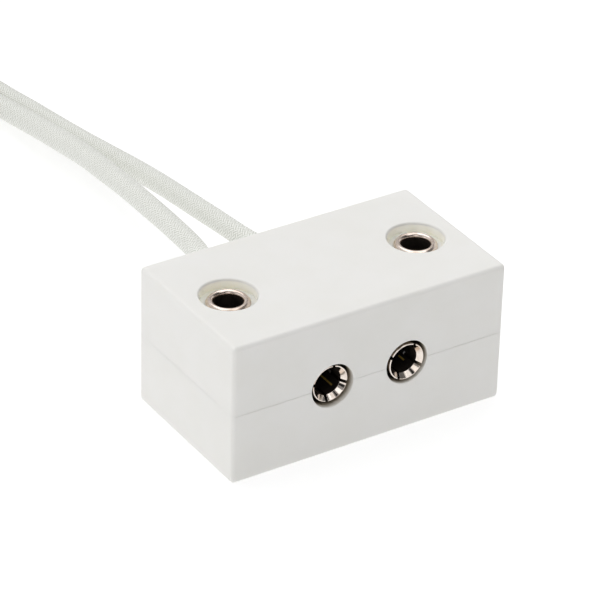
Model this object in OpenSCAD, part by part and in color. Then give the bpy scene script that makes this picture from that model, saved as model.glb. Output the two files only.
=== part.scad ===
// Two-pole plug-in lamp holder with leads.
// Two fired ceramic halves are clamped by two hollow rivets round a pair of floating socket contacts.
// Millimetres, +Z up. The origin is the centre of the block's underside.
// The lamp's pins enter the front face along +Y, and the leads leave the rear face along +Y.

/* [Block] */
// Length of the block, along the row of contacts
block_w = 34.5; // [33:0.5:38]
// Depth of the block, from the lamp side to the lead side
block_d = 19.5; // [19.5:0.5:22]
// Height of the two clamped halves
block_h = 17; // [15:0.5:20]
// Rounding of the block's outer edges
edge_r = 0.45; // [0.2:0.05:0.8]
// Gap that is left between the fired faces of the halves
seam_gap = 0.06; // [0.02:0.02:0.1]
// Chamfer on the lower half's front and rear edges at the seam
seam_chamfer = 0.25; // [0.1:0.05:0.4]

/* [Rivets] */
// Distance between the two fixing holes
rivet_spacing = 24; // [23:0.5:26]
// Radius of the clear hole through a rivet, for an M3 screw
rivet_bore_r = 1.6; // [1.5:0.05:1.65]
// Wall of the rivet's tube
rivet_wall = 0.35; // [0.25:0.05:0.4]
// Radius of a rivet's rolled flange
flange_r = 2.45; // [2.3:0.05:2.6]
// Thickness of a rolled flange
flange_t = 0.6; // [0.4:0.05:0.7]
// Radius of the counterbore that a flange lies in
counterbore_r = 3.2; // [3:0.05:3.4]
// Depth of that counterbore
counterbore_depth = 1.15; // [0.9:0.05:1.5]

/* [Contacts] */
// Distance between the two lamp pins
pin_pitch = 9.5; // [9:0.1:10]
// Radius of the contact's bore, for a 3.1 mm pin
pin_bore_r = 1.6; // [1.5:0.05:1.65]
// Depth of the contact's bore
pin_bore_depth = 12; // [11:0.5:12]
// Outer radius of the slotted sleeve
sleeve_r = 2.15; // [2.05:0.05:2.2]
// Outer radius of the sleeve's front rim
rim_r = 2.2; // [2.2:0.05:2.25]
// Distance of the rim behind the front face
contact_recess = 0.3; // [0:0.1:0.5]
// Width of the four slots in a sleeve
slot_w = 0.35; // [0.2:0.05:0.5]
// Length of the slots
slot_len = 9; // [6:0.5:9.5]
// Turn of the left contact about its own axis, in degrees
left_turn = 11; // [0:1:45]
// Turn of the right contact about its own axis, in degrees
right_turn = 27; // [0:1:45]
// How far the left contact stands forward of the middle of its end play
left_forward = -0.2; // [-0.2:0.05:0.2]
// How far the right contact stands forward of the middle of its end play
right_forward = 0.2; // [-0.2:0.05:0.2]
// Gap round a contact, which lets it float to meet the lamp's pins
contact_gap = 0.3; // [0.3:0.05:0.4]

/* [Leads] */
// Radius of a glass-braided lead
lead_r = 1.25; // [1.1:0.05:1.3]
// Radius of the stranded conductor
conductor_r = 0.75; // [0.6:0.05:0.75]
// Length of a lead from the rear face to the end of its ferrule
lead_len = 300; // [290:5:305]
// Length of the bare inner insulation at a lead's free end
tip_len = 2; // [1:0.5:3]
// Length of the crimped ferrule
ferrule_len = 8; // [6:0.5:10]

/* [Stored coil] */
// Centre of the coil, left of the block
coil_x = -14; // [-15:0.5:-13]
// Centre of the coil, behind the block
coil_y = 94; // [94:0.5:96]
// Radius of the inner lead's turns
coil_inner_r = 12.5; // [12.5:0.1:13]
// Distance between two leads that lie side by side
lead_step = 2.6; // [2.5:0.05:2.8]
// Thickness of the tape ties, on which the coil rests
tie_t = 0.5; // [0.3:0.1:0.8]
// Angle of the coil that a tie covers, in degrees
tie_angle = 13; // [8:1:20]

/* [Hidden] */

$fn = 64;
past = 1; // how far a cutter runs beyond the face that it cuts
left = -1;
right = 1;
seam_z = block_h / 2;
front_y = -block_d / 2;
rear_y = block_d / 2;
mouth_chamfer = 0.15;

// Places along a contact, measured from its front rim
rim_len = 1.2;
groove_from = 2.9;
groove_len = 2;
collar_from = 11.1;
collar_len = 1.4;
wire_bore_from = 12.9;
contact_len = 16.8;

// Radii of a contact
rim_break = 0.12;
rim_mouth_r = rim_r - 0.13;
mouth_len = 0.5;
groove_r = 1.95;
spring_t = 0.3;
spring_len = 1.8;
spring_mouth = 40; // degrees left open in the spring ring
collar_r = sleeve_r + 0.7;
barrel_r = 1.4;
wire_bore_r = conductor_r + 0.05;
crimp_mark_r = 0.8;
crimp_mark_depth = 0.3;

// The spaces in the halves, along Y from the front face
contact_y = front_y + contact_recess;
function contact_at(side) = contact_y - (side == left ? left_forward : right_forward);
channel_r = groove_r + spring_t + contact_gap + 0.05;
pocket_r = collar_r + contact_gap;
pocket_from = contact_y + collar_from - contact_gap;
pocket_to = contact_y + collar_from + collar_len + contact_gap;
barrel_room_r = barrel_r + contact_gap + 0.1;
barrel_room_to = 8;
lead_hole_r = lead_r + 0.2;
lead_mouth_len = 0.5;
lead_mouth_r = lead_hole_r + 0.4;

// The insulation and conductor between a contact and its lead
insulation_r = 1.05;
insulation_to = barrel_room_to - 0.1;
ferrule_r = 0.95;
ferrule_flare_r = 1.15;
ferrule_flare_len = 1.2;

// The coil: both leads lie side by side, and each turn climbs onto the one before
coil_outer_r = coil_inner_r + lead_step;
coil_w = lead_step + 2 * lead_r;
layer_h = 2 * lead_r;
full_layers = 2; // layers that go all the way round
full_h = full_layers * layer_h;
top_layer_z = tie_t + full_h + lead_r;
climb_at = 270; // where a turn climbs, in degrees round the coil
near_tie_at = 20; // where both leads lie in the top layer
far_tie_at = 200; // where only the inner lead does

// The leads' routes from the rear bores to the coil, where they rest on the surface
left_route = [[-4.75, 8, 8.5], [-4.7, 12, 8.5], [-4.1, 16, 8.5], [-2.7, 22, 8.4],
    [-2.2, 28, 8.2], [-1.8, 34, 7.8], [-1.3, 40, 7.2], [-0.8, 46, 6.4], [-0.2, 52, 5.4],
    [0, 58, 4.4], [0, 64, 3.5], [-0.3, 70, 2.7], [-0.8, 76, 2.1], [-1.5, 82, 1.8]];
right_route = [[4.75, 8, 8.5], [4.7, 12, 8.5], [4.3, 16, 8.5], [3.5, 22, 8.3],
    [3.3, 28, 7.8], [3.3, 34, 7.1], [3.5, 40, 6.2], [3.6, 46, 5.2], [3.4, 52, 4.3],
    [3.1, 58, 3.5], [2.8, 64, 2.8], [2.4, 70, 2.3], [1.8, 76, 1.9], [1.2, 82, 1.8], [1.1, 85, 1.75]];
tube_sides = 8;

// Length of a list of points, joined by straight lines
function run(points) = let (steps = [for (i = [1 : len(points) - 1]) norm(points[i] - points[i - 1])])
    steps * [for (s = steps) 1];
// How far round the coil a lead of that radius ends, in degrees
function wound(route, r) = let (
        before = run(route) - (rear_y - route[0][1]),
        straight = coil_y - route[len(route) - 1][1],
        turns_len = lead_len - tip_len - ferrule_len - before - straight)
    turns_len / (2 * PI * r) * 360;

// A prism along Z with rounded edges
module round_prism(w, d, h, r) {
    linear_extrude(h, center = true) {
        square([w - 2 * r, d], center = true);
        square([w, d - 2 * r], center = true);
        for (x = [-1, 1], y = [-1, 1])
            translate([x * (w / 2 - r), y * (d / 2 - r)]) circle(r);
    }
}

// The whole block with every outer edge rounded, centred on the seam
module block() {
    intersection() {
        round_prism(block_w, block_d, block_h, edge_r);
        rotate([90, 0, 0]) round_prism(block_w, block_h, block_d, edge_r);
        rotate([0, 90, 0]) round_prism(block_h, block_d, block_w, edge_r);
    }
}

// A round space along +Y on a contact's axis, between two places along Y
module room(r, from, to, end_r = undef) {
    translate([0, from, 0]) rotate([-90, 0, 0])
        cylinder(h = to - from, r1 = r, r2 = is_undef(end_r) ? r : end_r);
}

// Everything that one contact and its lead take out of the two halves
module contact_spaces() {
    room(channel_r, front_y - past, pocket_from);
    room(channel_r + mouth_chamfer + past, front_y - past, front_y + mouth_chamfer, channel_r);
    room(pocket_r, pocket_from - 0.01, pocket_to);
    room(barrel_room_r, pocket_to - 0.01, barrel_room_to);
    room(lead_hole_r, barrel_room_to - 0.01, rear_y + past);
    room(lead_hole_r, rear_y - lead_mouth_len, rear_y + past,
        lead_mouth_r + past * (lead_mouth_r - lead_hole_r) / lead_mouth_len);
}

// A rivet's hole through the whole block, with a counterbore at both faces
module rivet_spaces() {
    cylinder(h = block_h + 2 * past, r = rivet_bore_r + rivet_wall + 0.1, center = true);
    for (flip = [0, 180]) rotate([flip, 0, 0]) {
        translate([0, 0, block_h / 2 - counterbore_depth])
            cylinder(h = counterbore_depth + past, r = counterbore_r);
        translate([0, 0, block_h / 2 - mouth_chamfer])
            cylinder(h = mouth_chamfer + past, r1 = counterbore_r, r2 = counterbore_r + mouth_chamfer + past);
    }
}

// The half of the block above (side = 1) or below (side = -1) the seam
module half(side) {
    translate([0, 0, seam_z]) difference() {
        intersection() {
            block();
            translate([0, 0, side * (block_h + seam_gap) / 2])
                cube([block_w + past, block_d + past, block_h], center = true);
        }
        for (x = [left, right]) {
            translate([x * pin_pitch / 2, 0, 0]) contact_spaces();
            translate([x * rivet_spacing / 2, 0, 0]) rivet_spaces();
        }
        if (side < 0) for (y = [front_y, rear_y])
            translate([0, y, -seam_gap / 2]) rotate([45, 0, 0])
                cube([block_w + past, seam_chamfer * sqrt(2), seam_chamfer * sqrt(2)], center = true);
    }
}

module lower_shell() { color("whitesmoke") half(-1); }
module upper_shell() { color("whitesmoke") half(1); }

// A hollow rivet: a tube with a rolled flange in each counterbore
module rivet(side) {
    roll_r = flange_t / 2;
    seat_z = block_h / 2 - counterbore_depth;
    color("silver") translate([side * rivet_spacing / 2, 0, seam_z]) rotate_extrude() {
        translate([rivet_bore_r, -seat_z - roll_r]) square([rivet_wall, 2 * (seat_z + roll_r)]);
        for (z = [-1, 1]) translate([0, z * (seat_z + roll_r)]) {
            translate([rivet_bore_r + roll_r, -roll_r])
                square([flange_r - rivet_bore_r - 2 * roll_r, 2 * roll_r]);
            for (r = [rivet_bore_r + roll_r, flange_r - roll_r]) translate([r, 0]) circle(roll_r);
        }
    }
}
module left_rivet() { rivet(left); }
module right_rivet() { rivet(right); }

// Puts a piece that is drawn along +Z from its front end on a contact's axis, from a place along Y
module on_contact_axis(side, from = 0, turn = 0) {
    translate([side * pin_pitch / 2, from, seam_z]) rotate([-90, 0, 0]) rotate(turn) children();
}

// A turned contact: slotted sleeve, retaining collar and crimped wire barrel
module contact(side, turn) {
    collar_to = collar_from + collar_len;
    color("gainsboro") on_contact_axis(side, contact_at(side), turn) difference() {
        rotate_extrude() polygon([
            [rim_mouth_r, 0], [rim_r - rim_break, 0], [rim_r, rim_break], [rim_r, rim_len],
            [sleeve_r, rim_len + 0.1], [sleeve_r, groove_from], [groove_r, groove_from],
            [groove_r, groove_from + groove_len], [sleeve_r, groove_from + groove_len],
            [sleeve_r, collar_from], [collar_r, collar_from], [collar_r, collar_to],
            [barrel_r, collar_to], [barrel_r, contact_len], [wire_bore_r, contact_len],
            [wire_bore_r, wire_bore_from], [0, wire_bore_from],
            [0, pin_bore_depth + 0.4], [pin_bore_r, pin_bore_depth], [pin_bore_r, mouth_len]]);
        for (a = [0, 90]) rotate(a) translate([-rim_r - past, -slot_w / 2, -past])
            cube([2 * (rim_r + past), slot_w, slot_len + past]);
        for (a = [0, 180]) rotate(a) translate([0, barrel_r + crimp_mark_r - crimp_mark_depth,
                (collar_to + contact_len) / 2]) rotate([0, 90, 0])
            cylinder(h = 4 * barrel_r, r = crimp_mark_r, center = true);
    }
}
module left_contact() { contact(left, left_turn); }
module right_contact() { contact(right, right_turn); }

// The split spring ring that squeezes a sleeve's four fingers
module contact_spring(side, turn) {
    slack = (groove_len - spring_len) / 2;
    color("lightslategray") on_contact_axis(side, contact_at(side) + groove_from + slack, turn + 65)
        rotate_extrude(angle = 360 - spring_mouth)
            translate([groove_r + 0.02, 0]) square([spring_t, spring_len]);
}
module left_contact_spring() { contact_spring(left, left_turn); }
module right_contact_spring() { contact_spring(right, right_turn); }

// The stripped strands in a contact's barrel
module conductor(side) {
    from = contact_at(side) + wire_bore_from + 0.2;
    color("goldenrod") on_contact_axis(side, from) cylinder(h = insulation_to - from, r = conductor_r);
}
module left_conductor() { conductor(left); }
module right_conductor() { conductor(right); }

// The inner insulation where the braid is cut back behind a contact
module insulation(side) {
    from = contact_at(side) + contact_len + 0.05;
    color("linen") on_contact_axis(side, from) difference() {
        cylinder(h = insulation_to - from, r = insulation_r);
        translate([0, 0, -past]) cylinder(h = insulation_to - from + 2 * past, r = conductor_r + 0.02);
    }
}
module left_insulation() { insulation(left); }
module right_insulation() { insulation(right); }

// A tube swept along a route, with a ring square to the route at each of its points
module swept(route, r) {
    last = len(route) - 1;
    function ahead(i) = let (d = route[min(i + 1, last)] - route[max(i - 1, 0)]) d / norm(d);
    function across(i) = let (c = cross(ahead(i), [0, 0, 1])) c / norm(c);
    rings = [for (i = [0 : last], k = [0 : tube_sides - 1])
        let (a = 360 * (k + 0.5) / tube_sides, c = across(i))
        route[i] + r * (cos(a) * c + sin(a) * cross(c, ahead(i)))];
    walls = [for (i = [0 : last - 1], k = [0 : tube_sides - 1]) let (n = (k + 1) % tube_sides)
        [i * tube_sides + k, i * tube_sides + n, (i + 1) * tube_sides + n, (i + 1) * tube_sides + k]];
    ends = [[for (k = [tube_sides - 1 : -1 : 0]) k], [for (k = [0 : tube_sides - 1]) last * tube_sides + k]];
    polyhedron(rings, concat(walls, ends), convexity = 4);
}
module left_lead() { color("ivory") swept(left_route, lead_r); }
module right_lead() { color("ivory") swept(right_route, lead_r); }

// A lead's stretch of the top layer, from where it climbs to its end
module top_layer(route, r) {
    rotate(climb_at) rotate_extrude(angle = wound(route, r) - climb_at - 360)
        translate([r - lead_r, full_h]) square(layer_h);
}

// The space that the wound pair of leads fills
module lead_coil() {
    color("ivory") translate([coil_x, coil_y, tie_t]) {
        rotate_extrude() translate([coil_inner_r - lead_r, 0]) square([coil_w, full_h]);
        top_layer(left_route, coil_inner_r);
        top_layer(right_route, coil_outer_r);
    }
}

// A tape tie round the wound pair, whose outer lead is outer_h high there
module coil_tie(spot, outer_h) {
    inner_h = full_h + layer_h;
    color("tan") translate([coil_x, coil_y, tie_t]) rotate(spot - tie_angle / 2)
        rotate_extrude(angle = tie_angle) translate([coil_inner_r - lead_r, 0]) difference() {
            polygon([[-tie_t, -tie_t], [coil_w + tie_t, -tie_t], [coil_w + tie_t, outer_h + tie_t],
                [layer_h + tie_t, inner_h + tie_t], [-tie_t, inner_h + tie_t]]);
            polygon([[0, 0], [coil_w, 0], [coil_w, outer_h], [layer_h, inner_h], [0, inner_h]]);
        }
}
module near_coil_tie() { coil_tie(near_tie_at, full_h + layer_h); }
module far_coil_tie() { coil_tie(far_tie_at, full_h); }

// Puts a piece that is drawn along +Z past a lead's end, straight on from its last turn
module at_lead_end(route, r, past_end) {
    a = wound(route, r);
    translate([coil_x, coil_y, top_layer_z]) rotate(a) translate([r, past_end, 0])
        rotate([-90, 0, 0]) children();
}

// The inner insulation that shows past the braid at a lead's free end
module lead_tip(route, r) {
    color("linen") at_lead_end(route, r, 0) cylinder(h = tip_len, r = insulation_r);
}
module left_lead_tip() { lead_tip(left_route, coil_inner_r); }
module right_lead_tip() { lead_tip(right_route, coil_outer_r); }

// The end sleeve that is crimped on the strands, with a flared mouth
module ferrule(route, r) {
    color("silver") at_lead_end(route, r, tip_len) {
        cylinder(h = ferrule_flare_len, r1 = ferrule_flare_r, r2 = ferrule_r);
        cylinder(h = ferrule_len, r = ferrule_r);
    }
}
module left_ferrule() { ferrule(left_route, coil_inner_r); }
module right_ferrule() { ferrule(right_route, coil_outer_r); }

lower_shell();
upper_shell();
left_rivet();
right_rivet();
left_contact();
right_contact();
left_contact_spring();
right_contact_spring();
left_conductor();
right_conductor();
left_insulation();
right_insulation();
left_lead();
right_lead();
lead_coil();
near_coil_tie();
far_coil_tie();
left_lead_tip();
right_lead_tip();
left_ferrule();
right_ferrule();
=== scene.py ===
"""Looks of a two-pole plug-in lamp holder: ceramic block, floating contacts and braided leads.

Lengths are in millimetres until a mesh is made, when they become the frame's metres.
"""

from __future__ import annotations

import logging
import math
import random
from dataclasses import dataclass, field
from enum import Enum

import bmesh
import bpy
import numpy as np
from mathutils import Matrix, Vector

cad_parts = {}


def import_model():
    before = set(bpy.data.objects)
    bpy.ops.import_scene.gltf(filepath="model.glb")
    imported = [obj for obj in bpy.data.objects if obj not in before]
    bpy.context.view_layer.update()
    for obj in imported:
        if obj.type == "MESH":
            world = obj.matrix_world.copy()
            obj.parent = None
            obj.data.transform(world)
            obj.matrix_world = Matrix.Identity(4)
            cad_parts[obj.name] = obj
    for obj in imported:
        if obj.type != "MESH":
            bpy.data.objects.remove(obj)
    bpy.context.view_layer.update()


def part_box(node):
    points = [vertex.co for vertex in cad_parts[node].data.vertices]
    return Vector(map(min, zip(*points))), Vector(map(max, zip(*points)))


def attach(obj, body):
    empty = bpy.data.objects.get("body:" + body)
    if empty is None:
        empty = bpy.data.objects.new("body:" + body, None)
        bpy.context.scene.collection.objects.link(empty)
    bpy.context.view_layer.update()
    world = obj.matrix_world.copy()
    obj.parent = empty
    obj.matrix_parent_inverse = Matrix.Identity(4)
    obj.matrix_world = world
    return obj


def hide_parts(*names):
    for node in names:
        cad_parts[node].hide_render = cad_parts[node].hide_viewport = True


log = logging.getLogger("lamp_holder")

MM = 0.001
TURN = 2 * math.pi
UV_NAME = "wrap"
ROUTE = tuple[tuple[float, float, float], ...]


class Side(Enum):
    """The two poles, by their place along X."""

    LEFT = -1
    RIGHT = 1

    @property
    def word(self) -> str:
        """The pole's word in node and piece names."""
        return self.name.lower()


class Half(Enum):
    """The two fired halves of the block, by their side of the seam."""

    LOWER = -1
    UPPER = 1

    @property
    def word(self) -> str:
        """The half's word in node and piece names."""
        return self.name.lower()


# ---------------------------------------------------------------- colour, nodes and meshes


def linear(hex_colour: str) -> tuple[float, float, float, float]:
    """Turns an sRGB hex colour into linear RGBA.

    Args:
        hex_colour: Six hex digits after a hash.

    Returns:
        The colour as Blender's sockets take it.
    """
    parts = [int(hex_colour[i : i + 2], 16) / 255 for i in (1, 3, 5)]
    red, green, blue = (p / 12.92 if p <= 0.04045 else ((p + 0.055) / 1.055) ** 2.4 for p in parts)
    return red, green, blue, 1.0


def add(tree: bpy.types.NodeTree, kind: str, inputs: dict | None = None, **settings: object) -> bpy.types.Node:
    """Adds one node with its settings, values and links.

    Args:
        tree: The node tree that takes it.
        kind: The node's type name.
        inputs: Each input's value, or the output socket that feeds it, by name or number.
        **settings: The node's own properties, and stops for a colour ramp's (place, colour) pairs.

    Returns:
        The new node.
    """
    node = tree.nodes.new(kind)
    stops = settings.pop("stops", None)
    for key, value in settings.items():
        setattr(node, key, value)
    for place, (at, colour) in enumerate(stops or ()):
        ramp = node.color_ramp.elements
        stop = ramp[place] if place < 2 else ramp.new(at)
        stop.position, stop.color = at, colour
    for key, value in (inputs or {}).items():
        if isinstance(value, bpy.types.NodeSocket):
            tree.links.new(value, node.inputs[key])
        else:
            node.inputs[key].default_value = value
    return node


def blank_material(name: str) -> tuple[bpy.types.Material, bpy.types.NodeTree]:
    """Makes a material with an empty node tree.

    Args:
        name: The finish's name.

    Returns:
        The material and its tree.
    """
    material = bpy.data.materials.new(name)
    material.use_nodes = True
    material.node_tree.nodes.clear()
    return material, material.node_tree


def piece_from(name: str, points: np.ndarray, faces: list, uvs: np.ndarray | None = None) -> bpy.types.Object:
    """Makes a mesh object from points in millimetres.

    Args:
        name: The piece's name.
        points: One row of x, y, z for each vertex.
        faces: Each face's vertex numbers.
        uvs: One row of u, v for each face corner, in the faces' order.

    Returns:
        The object, linked to the scene, still in millimetres.
    """
    mesh = bpy.data.meshes.new(name)
    mesh.from_pydata(np.asarray(points, float).tolist(), [], [list(map(int, f)) for f in faces])
    if uvs is not None:
        layer = mesh.uv_layers.new(name=UV_NAME)
        layer.data.foreach_set("uv", np.asarray(uvs, np.float32).ravel())
    piece = bpy.data.objects.new(name, mesh)
    bpy.context.scene.collection.objects.link(piece)
    return piece


def bake_modifiers(piece: bpy.types.Object) -> None:
    """Replaces a piece's mesh with what its modifiers make of it."""
    bpy.context.view_layer.update()
    shaped = piece.evaluated_get(bpy.context.evaluated_depsgraph_get())
    old, piece.data = piece.data, bpy.data.meshes.new_from_object(shaped)
    piece.modifiers.clear()
    piece.data.name = piece.name
    bpy.data.meshes.remove(old)


def carve(piece: bpy.types.Object, cutters: list[bpy.types.Object]) -> None:
    """Cuts closed solids out of a piece and removes them.

    Args:
        piece: The piece that is cut.
        cutters: The solids that are taken away.
    """
    for cutter in cutters:
        cut = piece.modifiers.new("cut", "BOOLEAN")
        cut.operation, cut.solver, cut.object = "DIFFERENCE", "EXACT", cutter
    bake_modifiers(piece)
    for cutter in cutters:
        bpy.data.meshes.remove(cutter.data)


def finish_mesh(piece: bpy.types.Object, sharp_deg: float = 35, bevel: float = 0, weld: float = 1e-4) -> None:
    """Cleans a mesh, breaks its sharp edges, shades it and turns it into metres.

    Args:
        piece: The piece, in millimetres.
        sharp_deg: Edges that turn by more than this stay crisp.
        bevel: Width of the break on those edges, or 0 for none.
        weld: Vertices closer than this are joined.
    """
    mesh = piece.data
    work = bmesh.new()
    work.from_mesh(mesh)
    bmesh.ops.remove_doubles(work, verts=work.verts, dist=weld)
    bmesh.ops.dissolve_degenerate(work, dist=weld, edges=work.edges)
    bmesh.ops.recalc_face_normals(work, faces=work.faces)
    work.to_mesh(mesh)
    work.free()
    if bevel:
        brk = piece.modifiers.new("break", "BEVEL")
        brk.width, brk.segments, brk.limit_method = bevel, 2, "ANGLE"
        brk.angle_limit = math.radians(sharp_deg)
        bake_modifiers(piece)
    mesh = piece.data
    mesh.shade_smooth()
    mesh.set_sharp_from_angle(angle=math.radians(sharp_deg))
    even = piece.modifiers.new("even", "WEIGHTED_NORMAL")
    even.keep_sharp = True
    bake_modifiers(piece)
    piece.data.transform(Matrix.Scale(MM, 4))


def ring_faces(rings: int, sides: int, closed: bool = False) -> np.ndarray:
    """Quads between rings of vertices.

    Args:
        rings: How many rings there are, one after the other.
        sides: Vertices in each ring.
        closed: True if the last ring joins the first.

    Returns:
        One row of four vertex numbers for each face.
    """
    low = np.arange(rings if closed else rings - 1)
    here, side = np.meshgrid(low, np.arange(sides), indexing="ij")
    nxt, turn = (here + 1) % rings, (side + 1) % sides
    quads = [here * sides + side, here * sides + turn, nxt * sides + turn, nxt * sides + side]
    return np.stack(quads, -1).reshape(-1, 4)


def lathe(name: str, profile: list[tuple[float, float]], sides: int = 96) -> bpy.types.Object:
    """Turns an outline about Z.

    An outline whose two ends are on the axis makes a solid, and any other is closed into a ring.

    Args:
        name: The piece's name.
        profile: Radius and height of each point of the outline.
        sides: Number of sides.

    Returns:
        The turned piece, in millimetres.
    """
    solid = profile[0][0] == 0 and profile[-1][0] == 0
    turned = profile[1:-1] if solid else profile
    angles = np.arange(sides) * TURN / sides
    rings = [[(r * math.cos(a), r * math.sin(a), z) for a in angles] for r, z in turned]
    points = np.array(rings).reshape(-1, 3)
    faces = ring_faces(len(turned), sides, closed=not solid).tolist()
    if solid:
        first, last = len(points), len(points) + 1
        points = np.vstack([points, [0, 0, profile[0][1]], [0, 0, profile[-1][1]]])
        end = (len(turned) - 1) * sides
        for k in range(sides):
            faces.append([(k + 1) % sides, k, first])
            faces.append([end + k, end + (k + 1) % sides, last])
    piece = piece_from(name, points, faces)
    work = bmesh.new()
    work.from_mesh(piece.data)
    bmesh.ops.recalc_face_normals(work, faces=work.faces)
    work.to_mesh(piece.data)
    work.free()
    return piece


def arc(centre: tuple[float, float], radius: float, start: float, end: float, steps: int = 6) -> list:
    """Points on an arc of an outline.

    Args:
        centre: Radius and height of the arc's middle.
        radius: The arc's own radius.
        start: Angle of the first point, in degrees from the outward direction.
        end: Angle of the last point.
        steps: Number of straight steps.

    Returns:
        The points, both ends included.
    """
    angles = [math.radians(start + (end - start) * k / steps) for k in range(steps + 1)]
    return [(centre[0] + radius * math.cos(a), centre[1] + radius * math.sin(a)) for a in angles]


def box_piece(name: str, shape: Matrix) -> bpy.types.Object:
    """Makes a box from a unit cube about the origin.

    Args:
        name: The piece's name.
        shape: What the cube is stretched, turned and moved by.

    Returns:
        The box, in millimetres.
    """
    piece = piece_from(name, np.zeros((0, 3)), [])
    work = bmesh.new()
    bmesh.ops.create_cube(work, size=1, matrix=shape)
    work.to_mesh(piece.data)
    work.free()
    return piece


def place(piece: bpy.types.Object, *moves: Matrix) -> bpy.types.Object:
    """Moves a piece's mesh by each matrix in turn, the first one first."""
    for move in moves:
        piece.data.transform(move)
    return piece


def seat(piece: bpy.types.Object, body: str, nodes: tuple[str, ...], slot: str) -> bpy.types.Object:
    """Fastens a finished piece to the frame and reports it.

    Args:
        piece: The piece, in metres and in place.
        body: The CAD body that it moves with.
        nodes: The CAD nodes that it stands for.
        slot: Not used.

    Returns:
        The piece.
    """
    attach(piece, body)
    if nodes:
        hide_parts(*nodes)
    faces = len(piece.data.polygons)
    log.info("%s: %d faces, on %s, for %s", piece.name, faces, body, ", ".join(nodes) or "nothing")
    return piece


# ---------------------------------------------------------------- finishes


@dataclass(frozen=True)
class Steatite:
    """Unglazed steatite ceramic, dry-pressed and fired: matte, dense and faintly translucent."""

    name: str = "unglazed_steatite"
    body_hex: str = "#F3F2EF"
    cloud_hex: str = "#F1F0EC"
    pit_hex: str = "#E4E1D8"
    cloud_mm: float = 5.0
    grain_mm: float = 0.25
    grain_depth_mm: float = 0.006
    glow_mm: tuple[float, float, float] = (1.0, 0.96, 0.9)
    glow: float = 0.15
    glow_scale_mm: float = 1.0
    ior: float = 1.55

    def make(self) -> bpy.types.Material:
        """Pressed powder leaves soft clouds, sparse dark pits and a fine dry grain.

        Returns:
            The material.
        """
        material, tree = blank_material(self.name)
        where = add(tree, "ShaderNodeTexCoord").outputs["Object"]
        cloud = add(tree, "ShaderNodeTexNoise", {"Vector": where, "Scale": 1 / (self.cloud_mm * MM), "Detail": 3.0})
        grain = add(tree, "ShaderNodeTexNoise", {"Vector": where, "Scale": 1 / (self.grain_mm * MM), "Detail": 4.0})
        body = add(tree, "ShaderNodeValToRGB", {"Fac": cloud.outputs["Fac"]},
                   stops=((0.35, linear(self.cloud_hex)), (0.65, linear(self.body_hex))))
        pits = add(tree, "ShaderNodeMapRange",
                   {"Value": grain.outputs["Fac"], "From Min": 0.24, "From Max": 0.34, "To Min": 0.6, "To Max": 0.0})
        colour = add(tree, "ShaderNodeMix",
                     {"Factor": pits.outputs[0], "A": body.outputs["Color"], "B": linear(self.pit_hex)},
                     data_type="RGBA")
        rough = add(tree, "ShaderNodeMapRange", {"Value": grain.outputs["Fac"], "To Min": 0.5, "To Max": 0.72})
        bump = add(tree, "ShaderNodeBump",
                   {"Height": grain.outputs["Fac"], "Distance": self.grain_depth_mm * MM, "Strength": 0.6})
        shader = add(tree, "ShaderNodeBsdfPrincipled", {
            "Base Color": colour.outputs["Result"], "Roughness": rough.outputs[0], "IOR": self.ior,
            "Subsurface Weight": self.glow, "Subsurface Radius": self.glow_mm, "Subsurface Scale": self.glow_scale_mm * MM,
            "Normal": bump.outputs["Normal"]})
        add(tree, "ShaderNodeOutputMaterial", {"Surface": shader.outputs["BSDF"]})
        return material


@dataclass(frozen=True)
class PaintedChannelShade:
    """Steatite inside a contact's channel, with painted shade: light at the mouth and painted darker deeper in, where
    shade falls.
    """

    name: str = "channel_painted_shade_steatite"
    lit_hex: str = "#F0EDE6"
    half_shade_hex: str = "#A89C8A"
    deep_shade_hex: str = "#2E2922"
    lit_y: float = -9.6
    half_shade_y: float = -9.0
    deep_shade_y: float = -8.3
    ragged_mm: float = 0.5

    def make(self) -> bpy.types.Material:
        """The painted shade deepens along the channel, and its edge is ragged.

        Returns:
            The material.
        """
        material, tree = blank_material(self.name)
        where = add(tree, "ShaderNodeTexCoord").outputs["Object"]
        along = add(tree, "ShaderNodeSeparateXYZ", {"Vector": where}).outputs["Y"]
        patches = add(tree, "ShaderNodeTexNoise", {"Vector": where, "Scale": 1 / (self.ragged_mm * MM), "Detail": 4.0})
        shift = add(tree, "ShaderNodeMapRange",
                    {"Value": patches.outputs["Fac"], "To Min": -0.2 * MM, "To Max": 0.2 * MM})
        ragged = add(tree, "ShaderNodeMath", {0: along, 1: shift.outputs[0]}, operation="ADD")
        depth = add(tree, "ShaderNodeMapRange",
                    {"Value": ragged.outputs[0], "From Min": self.lit_y * MM, "From Max": self.deep_shade_y * MM})
        half_shade_at = (self.half_shade_y - self.lit_y) / (self.deep_shade_y - self.lit_y)
        colour = add(tree, "ShaderNodeValToRGB", {"Fac": depth.outputs[0]},
                     stops=((0.0, linear(self.lit_hex)), (1.0, linear(self.deep_shade_hex)),
                            (half_shade_at, linear(self.half_shade_hex))))
        shader = add(tree, "ShaderNodeBsdfPrincipled", {"Base Color": colour.outputs["Color"], "Roughness": 0.7})
        add(tree, "ShaderNodeOutputMaterial", {"Surface": shader.outputs["BSDF"]})
        return material


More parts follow.
